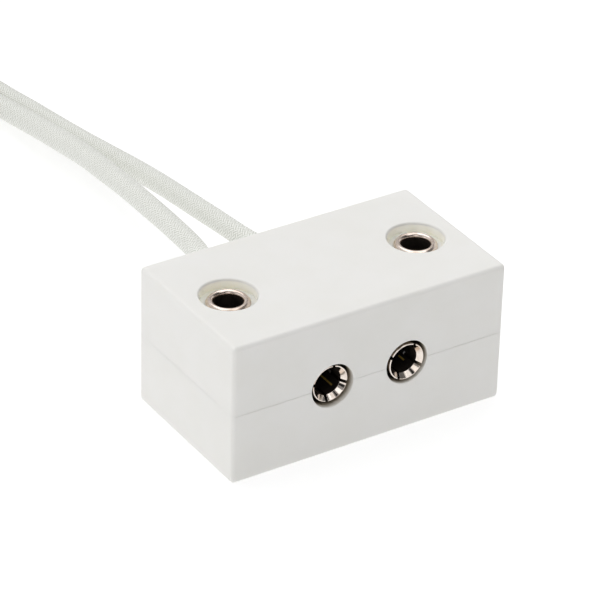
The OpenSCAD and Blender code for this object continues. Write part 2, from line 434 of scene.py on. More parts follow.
@dataclass(frozen=True)
class NickelPlate:
    """Bright nickel plate on brass: a warm grey mirror with faint turning lines."""

    name: str = "bright_nickel_plate"
    metal_hex: str = "#EFE5DC"
    smoke_hex: str = "#CDBCAC"
    roughness: float = 0.075
    line_mm: float = 0.12
    line_depth_mm: float = 0.0012
    smoke_mm: float = 1.5

    def make(self) -> bpy.types.Material:
        """Turning leaves rings round the axis, and handling leaves a light smoky tarnish.

        Returns:
            The material.
        """
        material, tree = blank_material(self.name)
        where = add(tree, "ShaderNodeTexCoord").outputs["Object"]
        smoke = add(tree, "ShaderNodeTexNoise", {"Vector": where, "Scale": 1 / (self.smoke_mm * MM), "Detail": 3.0})
        # The lines are drawn several times coarser than real ones so that they catch the light at all.
        lines = add(tree, "ShaderNodeTexNoise", {"Vector": where, "Scale": 1 / (self.line_mm * MM), "Detail": 2.0})
        colour = add(tree, "ShaderNodeValToRGB", {"Fac": smoke.outputs["Fac"]},
                     stops=((0.3, linear(self.smoke_hex)), (0.55, linear(self.metal_hex))))
        rough = add(tree, "ShaderNodeMapRange",
                    {"Value": smoke.outputs["Fac"], "To Min": self.roughness * 1.4, "To Max": self.roughness * 0.7})
        bump = add(tree, "ShaderNodeBump",
                   {"Height": lines.outputs["Fac"], "Distance": self.line_depth_mm * MM, "Strength": 0.5})
        shader = add(tree, "ShaderNodeBsdfPrincipled", {
            "Base Color": colour.outputs["Color"], "Metallic": 1.0, "Roughness": rough.outputs[0],
            "Normal": bump.outputs["Normal"]})
        add(tree, "ShaderNodeOutputMaterial", {"Surface": shader.outputs["BSDF"]})
        return material


@dataclass(frozen=True)
class Braid:
    """A braid or plain weave of yarns in a sleeve or tape, drawn through the piece's own map."""

    name: str = "varnished_glass_braid"
    yarn_hex: str = "#F4F5F0"
    groove_shade_hex: str = "#CDCEC5"
    carriers: float = 8
    pitch_mm: float = 0.82
    ends: int = 2
    depth_mm: float = 0.02
    roughness: float = 0.62
    sheen: float = 0.3

    def make(self) -> bpy.types.Material:
        """Two families of flat yarns cross over and under, and each yarn is a few fine ends side by side.

        Returns:
            The material.
        """
        material, tree = blank_material(self.name)
        wrap = add(tree, "ShaderNodeUVMap", uv_map=UV_NAME).outputs["UV"]
        root2 = math.sqrt(2)
        # The first number of the turned map counts one family's yarns and the second counts the other's.
        yarns = add(tree, "ShaderNodeMapping", {
            "Vector": wrap, "Scale": (root2 * self.carriers, root2 / self.pitch_mm, 1.0),
            "Rotation": (0.0, 0.0, -math.pi / 4)}).outputs["Vector"]
        over = add(tree, "ShaderNodeTexChecker", {"Vector": yarns, "Scale": 1.0}).outputs["Fac"]
        waves = [add(tree, "ShaderNodeTexWave",
                     {"Vector": yarns, "Scale": self.ends * math.pi / 10, "Distortion": 0.6, "Detail": 1.0,
                      "Detail Scale": 2.0}, bands_direction=way).outputs["Fac"] for way in "XY"]
        ends = add(tree, "ShaderNodeMix", {"Factor": over, "A": waves[0], "B": waves[1]})
        where = add(tree, "ShaderNodeTexCoord").outputs["Object"]
        fuzz = add(tree, "ShaderNodeTexNoise", {"Vector": where, "Scale": 1 / (0.5 * MM), "Detail": 5.0})
        shade = add(tree, "ShaderNodeMath", {0: ends.outputs["Result"], 1: fuzz.outputs["Fac"]}, operation="MULTIPLY")
        # The grooves between yarns and between ends are painted darker: painted shade.
        colour = add(tree, "ShaderNodeValToRGB", {"Fac": shade.outputs[0]},
                     stops=((0.05, linear(self.groove_shade_hex)), (0.3, linear(self.yarn_hex))))
        bump = add(tree, "ShaderNodeBump",
                   {"Height": shade.outputs[0], "Distance": self.depth_mm * MM, "Strength": 0.45})
        shader = add(tree, "ShaderNodeBsdfPrincipled", {
            "Base Color": colour.outputs["Color"], "Roughness": self.roughness, "Sheen Weight": self.sheen,
            "Sheen Roughness": 0.5, "Normal": bump.outputs["Normal"]})
        add(tree, "ShaderNodeOutputMaterial", {"Surface": shader.outputs["BSDF"]})
        return material


@dataclass(frozen=True)
class Finishes:
    """Every finish of the holder, made once."""

    steatite: bpy.types.Material
    seat: bpy.types.Material
    channel: bpy.types.Material
    rivet: bpy.types.Material
    contact: bpy.types.Material
    bore: bpy.types.Material
    worn: bpy.types.Material
    spring: bpy.types.Material
    strand: bpy.types.Material
    braid: bpy.types.Material
    wrap: bpy.types.Material
    tape: bpy.types.Material
    ferrule: bpy.types.Material

    @classmethod
    def make(cls) -> Finishes:
        """Makes them all.

        Returns:
            The finishes.
        """
        return cls(
            steatite=Steatite().make(),
            # The counterbores get a lighter, warmer copy of the ceramic: painted light that lifts the shade on their
            # walls.
            seat=Steatite("counterbore_painted_light_steatite", "#FBF9F1", "#F7F4E9", "#E3DBC8", glow=1.0, glow_scale_mm=3.0).make(),
            # The channel walls are painted darker with depth from the mouth: painted shade.
            channel=PaintedChannelShade().make(),
            rivet=NickelPlate("rolled_nickel_plate", "#E6D8CE", "#C4B1A2", roughness=0.22).make(),
            contact=NickelPlate("turned_nickel_plate").make(),
            # Inside a bore the plate is thin and unpolished, and the pins have dulled it.
            bore=NickelPlate("dull_bore_plate", "#57504A", "#39332D", roughness=0.55).make(),
            # A narrow brass-coloured strip on the far bore wall is a painted highlight, set where the bore's reflection
            # line falls.
            worn=NickelPlate("painted_highlight_brass", "#D9C474", "#B8A050", roughness=0.8).make(),
            spring=NickelPlate("stainless_spring_strip", "#9C9C9E", "#7E7E80", roughness=0.42).make(),
            strand=NickelPlate("plated_copper_strand", "#D9BFA6", "#B08A66", roughness=0.3).make(),
            braid=Braid().make(),
            wrap=Braid("wrapped_glass_tape", "#E2DFD2", "#C4BFAE", carriers=2, pitch_mm=1.4, ends=6).make(),
            tape=Braid("woven_cotton_tape", "#DED5BC", "#B3A78A", carriers=3, pitch_mm=0.5, ends=1,
                       roughness=0.85, sheen=0.5).make(),
            ferrule=NickelPlate("tinned_copper_sleeve", "#C9C9C6", "#A8A8A4", roughness=0.24).make(),
        )


# ---------------------------------------------------------------- ceramic block and rivets


@dataclass(frozen=True)
class Block:
    """The two fired halves, with the spaces that the contacts, leads and rivets lie in."""

    width: float = 34.5
    depth: float = 19.5
    height: float = 17.0
    edge_r: float = 0.5
    seam_gap: float = 0.002
    seam_chamfer: float = 0.06
    pole_x: float = 4.75
    rivet_x: float = 12.0
    rivet_hole_r: float = 2.05
    counterbore_r: float = 3.2
    counterbore_depth: float = 1.15
    counterbore_round: float = 0.28
    mouth_round: float = 0.14
    channel_r: float = 2.6
    pocket_r: float = 3.15
    pocket_y: tuple[float, float] = (1.35, 3.35)
    barrel_room_r: float = 1.8
    barrel_room_y: float = 8.0
    lead_hole_r: float = 1.45
    lead_mouth_r: float = 1.85
    past: float = 2.0
    clear: float = 0.012

    def solid(self, name: str) -> bpy.types.Object:
        """The whole block with its outer edges rounded, centred on the seam.

        Args:
            name: The piece's name.

        Returns:
            The piece, in millimetres.
        """
        piece = box_piece(name, Matrix.Diagonal((self.width, self.depth, self.height, 1)))
        work = bmesh.new()
        work.from_mesh(piece.data)
        bmesh.ops.bevel(work, geom=work.edges[:], offset=self.edge_r, segments=6, profile=0.5, affect="EDGES")
        work.to_mesh(piece.data)
        work.free()
        return piece

    def seam_cutters(self, half: Half) -> list[bpy.types.Object]:
        """What leaves one half of the block: the other half, and a chamfer along each long seam edge.

        Args:
            half: Which half is left.

        Returns:
            The cutters, in millimetres.
        """
        away = -half.value * self.height / 2 + half.value * self.seam_gap / 2
        tall = Matrix.Translation((0, 0, away)) @ Matrix.Diagonal(
            (self.width + self.past, self.depth + self.past, self.height, 1))
        width = self.seam_chamfer if half is Half.LOWER else self.seam_chamfer / 4
        cutters = [box_piece("other_half", tall)]
        for way in (-1, 1):
            edge = Matrix.Translation((0, way * self.depth / 2, half.value * self.seam_gap / 2))
            size = Matrix.Diagonal((self.width + self.past, width * math.sqrt(2), width * math.sqrt(2), 1))
            cutters.append(box_piece("seam_chamfer", edge @ Matrix.Rotation(math.pi / 4, 4, "X") @ size))
        return cutters

    def pole_cutter(self, side: Side) -> bpy.types.Object:
        """The stepped space of one contact and its lead, along Y on the seam.

        Args:
            side: Which pole.

        Returns:
            The cutter, in millimetres.
        """
        front, rear, r = -self.depth / 2, self.depth / 2, self.mouth_round
        mouth = arc((self.channel_r + r, front + r - self.clear), r, 180, 270)[::-1]
        low, high = self.pocket_y
        outline = [
            (0, front - self.past), (self.channel_r + r, front - self.past), *mouth, (self.channel_r, low),
            (self.pocket_r, low), (self.pocket_r, high), (self.barrel_room_r, high),
            (self.barrel_room_r, self.barrel_room_y), (self.lead_hole_r, self.barrel_room_y),
            (self.lead_hole_r, rear - 0.5), (self.lead_mouth_r, rear + self.clear),
            (self.lead_mouth_r, rear + self.past), (0, rear + self.past)]
        cutter = lathe("pole_space", outline)
        return place(cutter, Matrix.Rotation(-math.pi / 2, 4, "X"),
                     Matrix.Translation((side.value * self.pole_x, 0, 0)))

    def rivet_cutter(self, side: Side) -> bpy.types.Object:
        """One rivet's hole right through the block, with a soft-edged counterbore at each face.

        Args:
            side: Which rivet.

        Returns:
            The cutter, in millimetres.
        """
        top, r = self.height / 2, self.counterbore_round
        floor = top - self.counterbore_depth
        upper = [(self.rivet_hole_r, floor), (self.counterbore_r, floor),
                 *arc((self.counterbore_r + r, top - r + self.clear), r, 180, 90),
                 (self.counterbore_r + r, top + self.past),
                 (0, top + self.past)]
        outline = [(x, -z) for x, z in upper[::-1]] + upper
        return place(lathe("rivet_space", outline), Matrix.Translation((side.value * self.rivet_x, 0, 0)))

    def build(self, finishes: Finishes) -> None:
        """Builds and dresses both halves.

        Args:
            finishes: The holder's finishes.
        """
        for half in Half:
            piece = self.solid(f"{half.word}_ceramic_half")
            carve(piece, [c for s in Side for c in (self.pole_cutter(s), self.rivet_cutter(s))])
            carve(piece, self.seam_cutters(half))
            place(piece, Matrix.Translation((0, 0, self.height / 2)))
            finish_mesh(piece, sharp_deg=32)
            piece.data.materials.clear()
            for finish in (finishes.steatite, finishes.seat, finishes.channel):
                piece.data.materials.append(finish)
            for face in piece.data.polygons:
                face.material_index = self.finish_at(face.center / MM)
            seat(piece, "block", (f"{half.word}_shell",), "steatite")

    def finish_at(self, spot: Vector) -> int:
        """Which of the ceramic's three finishes a face there has.

        Args:
            spot: The face's middle, in millimetres.

        Returns:
            0 for the plain faces, 1 in a counterbore (painted light) and 2 in a contact's channel (painted shade).
        """
        from_pole = math.hypot(abs(spot.x) - self.pole_x, spot.z - self.height / 2)
        if from_pole < self.pocket_r and -self.depth / 2 + 0.05 < spot.y < self.barrel_room_y:
            return 2 if from_pole < self.channel_r + 0.05 or spot.y > self.pocket_y[0] else 0
        from_rivet = math.hypot(abs(spot.x) - self.rivet_x, spot.y)
        deep = abs(spot.z - self.height / 2) < self.height / 2 - self.counterbore_round
        return 1 if from_rivet < self.counterbore_r + 0.05 and deep else 0


@dataclass(frozen=True)
class Rivet:
    """A hollow rivet that is rolled over into a domed flange in each counterbore."""

    side: Side
    x: float = 12.0
    mid_z: float = 8.5
    bore_r: float = 1.6
    wall: float = 0.35
    flange_r: float = 2.45
    seat_z: float = 7.35
    crest: float = 0.6
    crest_r: float = 1.98
    lip: float = 0.34

    def flange(self) -> list[tuple[float, float]]:
        """The upper flange's outline, from the bore over the crest to the tube's outer wall.

        Returns:
            Radius and height of each point, from the rivet's middle.
        """
        top = self.seat_z + self.crest
        inner = self.crest_r - self.bore_r
        roll = [(self.crest_r - inner * math.cos(a), top - inner * 1.25 * (1 - math.sin(a)))
                for a in np.linspace(0, math.pi / 2, 9)]
        fall = [(self.crest_r + (self.flange_r - 0.1 - self.crest_r) * t, top - (self.crest - self.lip) * t**1.8)
                for t in np.linspace(0.12, 1, 8)]
        edge_z = self.seat_z + self.lip / 2
        edge = arc((self.flange_r - self.lip / 2, edge_z), self.lip / 2, 50, -90, 6)
        return [*roll, *fall, *edge, (self.bore_r + self.wall + 0.05, self.seat_z),
                (self.bore_r + self.wall, self.seat_z - 0.05)]

    def build(self, finishes: Finishes) -> None:
        """Builds and dresses the rivet.

        Args:
            finishes: The holder's finishes.
        """
        upper = self.flange()
        outline = upper + [(r, -z) for r, z in upper[::-1]]
        piece = place(lathe(f"{self.side.word}_hollow_rivet", outline, 112),
                      Matrix.Translation((self.side.value * self.x, 0, self.mid_z)))
        finish_mesh(piece, sharp_deg=50)
        piece.data.materials.append(finishes.rivet)
        piece.data.materials.append(finishes.bore)
        deep = (self.seat_z - 0.1) * MM
        for face in piece.data.polygons:
            out = math.hypot(face.center.x - self.side.value * self.x * MM, face.center.y)
            if out < (self.bore_r + 0.02) * MM and abs(face.center.z - self.mid_z * MM) < deep:
                face.material_index = 1
        seat(piece, "block", (f"{self.side.word}_rivet",), "nickel_plate")


# ---------------------------------------------------------------- contacts and what is crimped in them


@dataclass(frozen=True)
class Contact:
    """A turned contact with four sprung fingers, and the strands that are crimped in its barrel."""

    side: Side
    turn: float
    front_y: float
    x: float = 4.75
    z: float = 8.5
    bore_r: float = 1.6
    bore_depth: float = 12.0
    mouth_r: float = 2.07
    mouth_len: float = 0.5
    rim_r: float = 2.2
    rim_len: float = 1.2
    sleeve_r: float = 2.15
    groove_r: float = 1.95
    groove_from: float = 2.9
    groove_len: float = 2.0
    collar_r: float = 2.85
    collar_from: float = 11.1
    collar_len: float = 1.4
    barrel_r: float = 1.4
    length: float = 16.8
    wire_bore_r: float = 0.8
    wire_bore_from: float = 12.9
    slot_w: float = 0.35
    slot_len: float = 9.0
    edge: float = 0.05
    crimp_r: float = 0.8
    crimp_depth: float = 0.3
    # The bore's painted highlight strip: its angle before the contact's turn, and its span of depth from the rim.
    glint_deg: float = 49.0
    glint_span: tuple[float, float] = (1.3, 3.5)
    spring_t: float = 0.28
    spring_len: float = 1.8
    spring_mouth_deg: float = 40.0
    strand_r: float = 0.145
    wrap_r: float = 1.05

    @property
    def body(self) -> str:
        """The moving body that everything here rides on."""
        return f"{self.side.word}_terminal"

    def on_axis(self, piece: bpy.types.Object, turn: float = 0) -> bpy.types.Object:
        """Puts a piece that was drawn along Z from the rim onto the contact's axis."""
        return place(piece, Matrix.Rotation(math.radians(turn), 4, "Z"), Matrix.Rotation(-math.pi / 2, 4, "X"),
                     Matrix.Translation((self.side.value * self.x, self.front_y, self.z)))

    def sleeve(self, finishes: Finishes) -> None:
        """The turned body: bevelled mouth, slotted sleeve, spring groove, collar and crimp barrel.

        Args:
            finishes: The holder's finishes.
        """
        groove_to = self.groove_from + self.groove_len
        collar_to = self.collar_from + self.collar_len
        e = self.edge
        outline = [
            (0, self.bore_depth + 0.4), (self.bore_r, self.bore_depth), (self.bore_r, self.glint_span[1]),
            (self.bore_r, self.glint_span[0]), *arc((self.bore_r + 0.12, self.mouth_len + 0.1), 0.12, 180, 225, 3),
            (self.mouth_r - e, 0.06), (self.mouth_r, 0), (self.rim_r - 0.08, 0), *arc((self.rim_r - 0.08, 0.08), 0.08, -90, 0, 3),
            (self.rim_r, self.rim_len), (self.sleeve_r, self.rim_len + 0.1),
            (self.sleeve_r, self.groove_from), (self.groove_r, self.groove_from),
            (self.groove_r, groove_to), (self.sleeve_r, groove_to), (self.sleeve_r, self.collar_from),
            (self.collar_r - e, self.collar_from), (self.collar_r, self.collar_from + e),
            (self.collar_r, collar_to - e), (self.collar_r - e, collar_to), (self.barrel_r, collar_to),
            (self.barrel_r, self.length - e), (self.barrel_r - e, self.length), (self.wire_bore_r + e, self.length),
            (self.wire_bore_r, self.length - e), (self.wire_bore_r, self.wire_bore_from), (0, self.wire_bore_from)]
        piece = lathe(f"{self.side.word}_socket_contact", outline)
        piece.data.materials.append(finishes.contact)
        piece.data.materials.append(finishes.bore)
        piece.data.materials.append(finishes.worn)
        # Faces on the strip's angle and depth span get the painted highlight; the rest of the bore gets the dull bore
        # plate.
        glint_at = math.radians(self.glint_deg - self.turn)
        for face in piece.data.polygons:
            out = math.hypot(face.center.x, face.center.y)
            inside = out < self.bore_r + 0.01 and face.center.z < self.bore_depth + 0.5
            off = math.remainder(math.atan2(face.center.y, face.center.x) - glint_at, TURN)
            on_glint = self.glint_span[0] < face.center.z < self.glint_span[1] and abs(off) < math.radians(3.8)
            face.material_index = (2 if on_glint else 1) if inside else 0
        slot = Matrix.Translation((0, 0, self.slot_len / 2 - 0.5)) @ Matrix.Diagonal(
            (2 * self.rim_r + 1, self.slot_w, self.slot_len + 1, 1))
        cutters = [box_piece("slot", Matrix.Rotation(quarter, 4, "Z") @ slot) for quarter in (0, math.pi / 2)]
        for way in (-1, 1):
            punch = lathe("punch", [(0, -3), (self.crimp_r, -3), (self.crimp_r, 3), (0, 3)], 32)
            out = self.barrel_r + self.crimp_r - self.crimp_depth
            cutters.append(place(punch, Matrix.Rotation(math.pi / 2, 4, "Y"),
                                 Matrix.Translation((0, way * out, (collar_to + self.length) / 2))))
        carve(piece, cutters)
        self.on_axis(piece, self.turn)
        finish_mesh(piece, sharp_deg=28, bevel=0.025)
        seat(piece, self.body, (f"{self.side.word}_contact",), "nickel_plate")

    def spring(self, finishes: Finishes) -> None:
        """The split ring of spring strip that squeezes the four fingers.

        Args:
            finishes: The holder's finishes.
        """
        inner, half_open, steps = self.groove_r + 0.02, math.radians(self.spring_mouth_deg / 2), 60
        angles = np.linspace(half_open, TURN - half_open, steps + 1)
        start = self.groove_from + (self.groove_len - self.spring_len) / 2
        soft, t, w = 0.08, self.spring_t, self.spring_len
        section = [(soft, 0), (t - soft, 0), (t, soft), (t, w - soft), (t - soft, w), (soft, w), (0, w - soft), (0, soft)]
        points = [((inner + r) * math.cos(a), (inner + r) * math.sin(a), start + z) for a in angles for r, z in section]
        sides = len(section)
        faces = ring_faces(steps + 1, sides).tolist() + [list(range(sides)), [steps * sides + k for k in range(sides)]]
        piece = self.on_axis(piece_from(f"{self.side.word}_finger_spring", points, faces), self.turn + 45)
        finish_mesh(piece, sharp_deg=35)
        piece.data.materials.append(finishes.spring)
        seat(piece, self.body, (f"{self.side.word}_contact_spring",), "spring_steel")

    def strands(self, finishes: Finishes) -> None:
        """Nineteen twisted strands from the crimp barrel to the lead.

        Args:
            finishes: The holder's finishes.
        """
        start, end, sides = self.wire_bore_from + 0.2, 7.9 - self.front_y, 8
        lay = [(0, 1), (0.31, 6), (0.6, 12)]
        points, faces = [], []
        for ring_r, count in lay:
            for strand in range(count):
                heights = np.linspace(start, end, 15)
                for z in heights:
                    a = TURN * strand / count + (z - start) * 0.45
                    for k in range(sides):
                        b = TURN * k / sides
                        points.append((ring_r * math.cos(a) + self.strand_r * math.cos(b),
                                       ring_r * math.sin(a) + self.strand_r * math.sin(b), z))
                base = len(points) - len(heights) * sides
                faces += (ring_faces(len(heights), sides) + base).tolist()
                faces.append([base + k for k in range(sides)])
                faces.append([len(points) - sides + k for k in range(sides)])
        piece = self.on_axis(piece_from(f"{self.side.word}_crimped_strands", points, faces))
        finish_mesh(piece, sharp_deg=60)
        piece.data.materials.append(finishes.strand)
        seat(piece, self.body, (f"{self.side.word}_conductor",), "strand")

    def wrap(self, finishes: Finishes) -> None:
        """The inner insulation where the braid is cut back behind the barrel.

        Args:
            finishes: The holder's finishes.
        """
        start, end = self.length + 0.05, 7.9 - self.front_y
        outline = [(0.78, start + 0.04), (0.82, start), (self.wrap_r - 0.06, start), (self.wrap_r, start + 0.06),
                   (self.wrap_r, end - 0.06), (self.wrap_r - 0.06, end), (0.82, end), (0.78, end - 0.04)]
        piece = self.on_axis(lathe(f"{self.side.word}_inner_wrap", outline, 48))
        finish_mesh(piece)
        piece.data.materials.append(finishes.wrap)
        seat(piece, self.body, (f"{self.side.word}_insulation",), "inner_insulation")

    def build(self, finishes: Finishes) -> None:
        """Builds and dresses everything that moves with the contact.

        Args:
            finishes: The holder's finishes.
        """
        self.sleeve(finishes)
        self.spring(finishes)
        self.strands(finishes)
        self.wrap(finishes)


# ---------------------------------------------------------------- leads, coil and ties


def ease(share: float) -> float:
    """A smooth step from 0 to 1 as the share goes from 0 to 1."""
    t = min(max(share, 0.0), 1.0)
    return t * t * (3 - 2 * t)


def even_curve(points: np.ndarray, step: float) -> np.ndarray:
    """Points at an even step along a smooth curve through the given ones.

    Args:
        points: The points that the curve passes through.
        step: Distance between the returned points.

    Returns:
        One row of x, y, z for each point.
    """
    padded = np.vstack([2 * points[0] - points[1], points, 2 * points[-1] - points[-2]])
    shares = np.linspace(0, 1, 24, endpoint=False)[:, None]
    runs = []
    for p0, p1, p2, p3 in zip(padded, padded[1:], padded[2:], padded[3:]):
        t = shares
        runs.append(0.5 * (2 * p1 + (p2 - p0) * t + (2 * p0 - 5 * p1 + 4 * p2 - p3) * t**2
                           + (3 * p1 - p0 - 3 * p2 + p3) * t**3))
    fine = np.vstack([*runs, points[-1:]])
    gone = np.concatenate([[0], np.cumsum(np.linalg.norm(np.diff(fine, axis=0), axis=1))])
    at = np.linspace(0, gone[-1], round(gone[-1] / step) + 1)
    return np.stack([np.interp(at, gone, fine[:, i]) for i in range(3)], axis=1)


def carried_frames(path: np.ndarray) -> tuple[np.ndarray, np.ndarray]:
    """Two directions across a path at each of its points, carried along without twist.

    Args:
        path: The path's points.

    Returns:
        The first directions and the second ones.
    """
    ahead = np.gradient(path, axis=0)
    ahead /= np.linalg.norm(ahead, axis=1)[:, None]
    across = np.empty_like(path)
    current = np.cross(ahead[0], (0.0, 0.0, 1.0))
    for i, way in enumerate(ahead):
        current = current - way * current.dot(way)
        current /= np.linalg.norm(current)
        across[i] = current
    return across, np.cross(ahead, across)


@dataclass(frozen=True)
class Coil:
    """How the two leads are wound together behind the block."""

    centre: tuple[float, float] = (-14.0, 94.0)
    inner_r: float = 12.5
    lead_step: float = 2.6
    lead_r: float = 1.25
    rest_z: float = 0.5
    climb_at: float = 265.0
    climb: float = 43.0

    def height(self, turned: float) -> float:
        """Height of a lead's middle after it has turned that far.

        Args:
            turned: Degrees round the coil since the lead met it.

        Returns:
            The height.
        """
        layers = ease((turned - self.climb_at) / self.climb) + ease((turned - 360 - self.climb_at) / self.climb)
        return self.rest_z + self.lead_r * (1 + 2 * layers)

    def point(self, radius: float, turned: float) -> tuple[float, float, float]:
        """The place on a turn of that radius after turning that far."""
        a = math.radians(turned)
        x, y = self.centre
        return x + radius * math.cos(a), y + radius * math.sin(a), self.height(turned)


@dataclass(frozen=True)
class Lead:
    """One glass-braided lead, from its bore in the block to its ferrule on the coil."""

    side: Side
    route: ROUTE
    coil: Coil
    wound_r: float
    bunched: float
    rear_y: float = 9.75
    length: float = 300.0
    tip_len: float = 2.0
    ferrule_len: float = 8.0
    radius: float = 1.25
    sides: int = 36
    ring_step: float = 0.18
    carriers: int = 8
    pitch: float = 0.82
    relief: float = 0.05
    tip_r: float = 1.05
    ferrule_r: float = 0.95
    ferrule_bore_r: float = 0.78
    flare_r: float = 1.15
    flare_len: float = 1.2

    @property
    def wound(self) -> float:
        """Degrees round the coil at which the braid ends, from the lead's real length."""
        points = np.array(self.route)
        before = np.linalg.norm(np.diff(points, axis=0), axis=1).sum() - (self.rear_y - points[0, 1])
        straight = self.coil.centre[1] - points[-1, 1]
        turns = self.length - self.tip_len - self.ferrule_len - before - straight
        return math.degrees(turns / self.wound_r)

    def path(self) -> np.ndarray:
        """The braid's centreline: the listed route, a straight run and the turns of the coil."""
        meet_y = self.coil.centre[1]
        last = np.array(self.route[-1])
        meet = np.array(self.coil.point(self.wound_r, 0))
        joins = [last + (meet - last) * share for share in (0.5,)]
        turned = np.linspace(0, self.wound, round(self.wound / 4) + 1)
        turns = [self.coil.point(self.wound_r, t) for t in turned]
        log.info("%s lead meets its coil at y %.1f mm and ends %.1f degrees round", self.side.word, meet_y, self.wound)
        return even_curve(np.vstack([self.route, *[j[None] for j in joins], turns]), self.ring_step)

    def braid_height(self, around: np.ndarray, along: np.ndarray) -> np.ndarray:
        """Relief of two families of flat yarns that cross over and under.

        Args:
            around: Share of the way round, for each vertex.
            along: Length along the lead, for each vertex.

        Returns:
            Relief from 0 in a groove to 1 on a yarn's crown.
        """
        first = self.carriers * around + along / self.pitch
        second = self.carriers * around - along / self.pitch
        over = np.clip(1.8 * np.sin(np.pi * first) * np.sin(np.pi * second), -1, 1)
        crown_1 = np.abs(np.sin(np.pi * first)) ** 0.6 * (0.62 + 0.38 * over)
        crown_2 = np.abs(np.sin(np.pi * second)) ** 0.6 * (0.62 - 0.38 * over)
        return np.maximum(crown_1, crown_2)

    def build_braid(self, finishes: Finishes) -> tuple[bpy.types.Object, np.ndarray]:
        """The braided sleeve as one closed tube with its yarns in relief.

        Args:
            finishes: The holder's finishes.

        Returns:
            The piece and its centreline, in millimetres.
        """
        path = self.path()
        across, up = carried_frames(path)
        rings = len(path)
        along = np.arange(rings) * self.ring_step
        share = np.arange(self.sides) / self.sides
        relief = self.braid_height(share[None, :], along[:, None])
        wander = 0.012 * np.sin(along / 7.3 + self.side.value) + 0.008 * np.sin(along / 2.9)
        wander += self.bunched * np.exp(-(((along - 50) / 24) ** 2))
        radius = self.radius - self.relief * (1 - relief) + wander[:, None]
        frayed = np.clip(1 - (along[-1] - along) / 0.5, 0, 1)[:, None]
        radius = radius * (1 - 0.12 * frayed**2)
        angle = TURN * share
        points = (path[:, None, :] + radius[..., None] * (np.cos(angle)[None, :, None] * across[:, None, :]
                                                           + np.sin(angle)[None, :, None] * up[:, None, :]))
        quads = ring_faces(rings, self.sides)
        u = (np.tile(np.arange(self.sides), rings - 1)[:, None] + np.array([0, 1, 1, 0])) / self.sides
        v = (np.repeat(np.arange(rings - 1), self.sides)[:, None] + np.array([0, 0, 1, 1])) * self.ring_step
        uvs = np.stack([u, v], -1).reshape(-1, 2)
        ends = [list(range(self.sides))[::-1], [(rings - 1) * self.sides + k for k in range(self.sides)]]
        cap_uvs = np.zeros((2 * self.sides, 2))
        piece = piece_from(f"{self.side.word}_braided_lead", points.reshape(-1, 3), quads.tolist() + ends,
                           np.vstack([uvs, cap_uvs]))
        piece.data.shade_smooth()
        piece.data.transform(Matrix.Scale(MM, 4))
        piece.data.materials.append(finishes.braid)
        return piece, path

    def at_end(self, piece: bpy.types.Object, past: float) -> bpy.types.Object:
        """Puts a piece that was drawn along Z just past the braid's end, straight on from the last turn."""
        x, y, z = self.coil.point(self.wound_r, self.wound)
        return place(piece, Matrix.Translation((0, 0, past)), Matrix.Rotation(-math.pi / 2, 4, "X"),
                     Matrix.Rotation(math.radians(self.wound), 4, "Z"), Matrix.Translation((x, y, z)))

    def build_tip(self, finishes: Finishes) -> bpy.types.Object:
        """The wrapped inner insulation that shows past the braid.

        Args:
            finishes: The holder's finishes.

        Returns:
            The piece.
        """
        sides, rings = 32, 24
        heights = np.linspace(-0.4, self.tip_len, rings)
        share = np.arange(sides) / sides
        # The tape's edge makes one shallow step that climbs like a screw.
        step = ((share[None, :] + heights[:, None] / 0.9) % 1.0) * 0.05
        radius = self.tip_r - 0.05 + step
        angle = TURN * share
        points = np.stack([radius * np.cos(angle), radius * np.sin(angle),
                           np.repeat(heights[:, None], sides, 1)], -1).reshape(-1, 3)
        quads = ring_faces(rings, sides)
        u = (np.tile(np.arange(sides), rings - 1)[:, None] + np.array([0, 1, 1, 0])) / sides
        v = np.repeat(heights[:-1], sides)[:, None] + np.array([0, 0, 1, 1]) * (heights[1] - heights[0])
        ends = [list(range(sides))[::-1], [(rings - 1) * sides + k for k in range(sides)]]
        piece = piece_from(f"{self.side.word}_stripped_tip", points, quads.tolist() + ends,
                           np.vstack([np.stack([u, v], -1).reshape(-1, 2), np.zeros((2 * sides, 2))]))
        self.at_end(piece, 0)
        piece.data.shade_smooth()
        piece.data.transform(Matrix.Scale(MM, 4))
        piece.data.materials.append(finishes.wrap)
        return seat(piece, "block", (f"{self.side.word}_lead_tip",), "inner_insulation")

    def build_ferrule(self, finishes: Finishes) -> bpy.types.Object:
        """The end sleeve with its flared mouth and three rows of crimp dents.

        Args:
            finishes: The holder's finishes.

        Returns:
            The piece.
        """
        outline = [(self.ferrule_bore_r, 0.8), (self.flare_r - 0.1, 0.02), (self.flare_r, 0),
                   (self.flare_r, 0.08), (self.ferrule_r, self.flare_len)]
        outline += [(self.ferrule_r, z) for z in np.linspace(self.flare_len + 0.2, self.ferrule_len - 0.1, 36)]
        outline += [(self.ferrule_r - 0.05, self.ferrule_len), (self.ferrule_bore_r, self.ferrule_len)]
        outline += [(self.ferrule_bore_r, z) for z in np.linspace(self.ferrule_len - 0.1, 1.0, 34)]
        piece = lathe(f"{self.side.word}_crimped_ferrule", outline, 64)
        for vertex in piece.data.vertices:
            x, y, z = vertex.co
            row = max(0.0, 1 - ((z - 3.0) % 1.7 - 0.85) ** 2 / 0.36) if 2.1 < z < 7.3 else 0.0
            square = 0.5 - 0.5 * math.cos(4 * math.atan2(y, x))
            squeeze = 1 - 0.11 * row * square
            vertex.co = (x * squeeze, y * squeeze, z)
        self.at_end(piece, self.tip_len)
        finish_mesh(piece, sharp_deg=40)
        piece.data.materials.append(finishes.ferrule)
        return seat(piece, "block", (f"{self.side.word}_ferrule",), "nickel_plate")

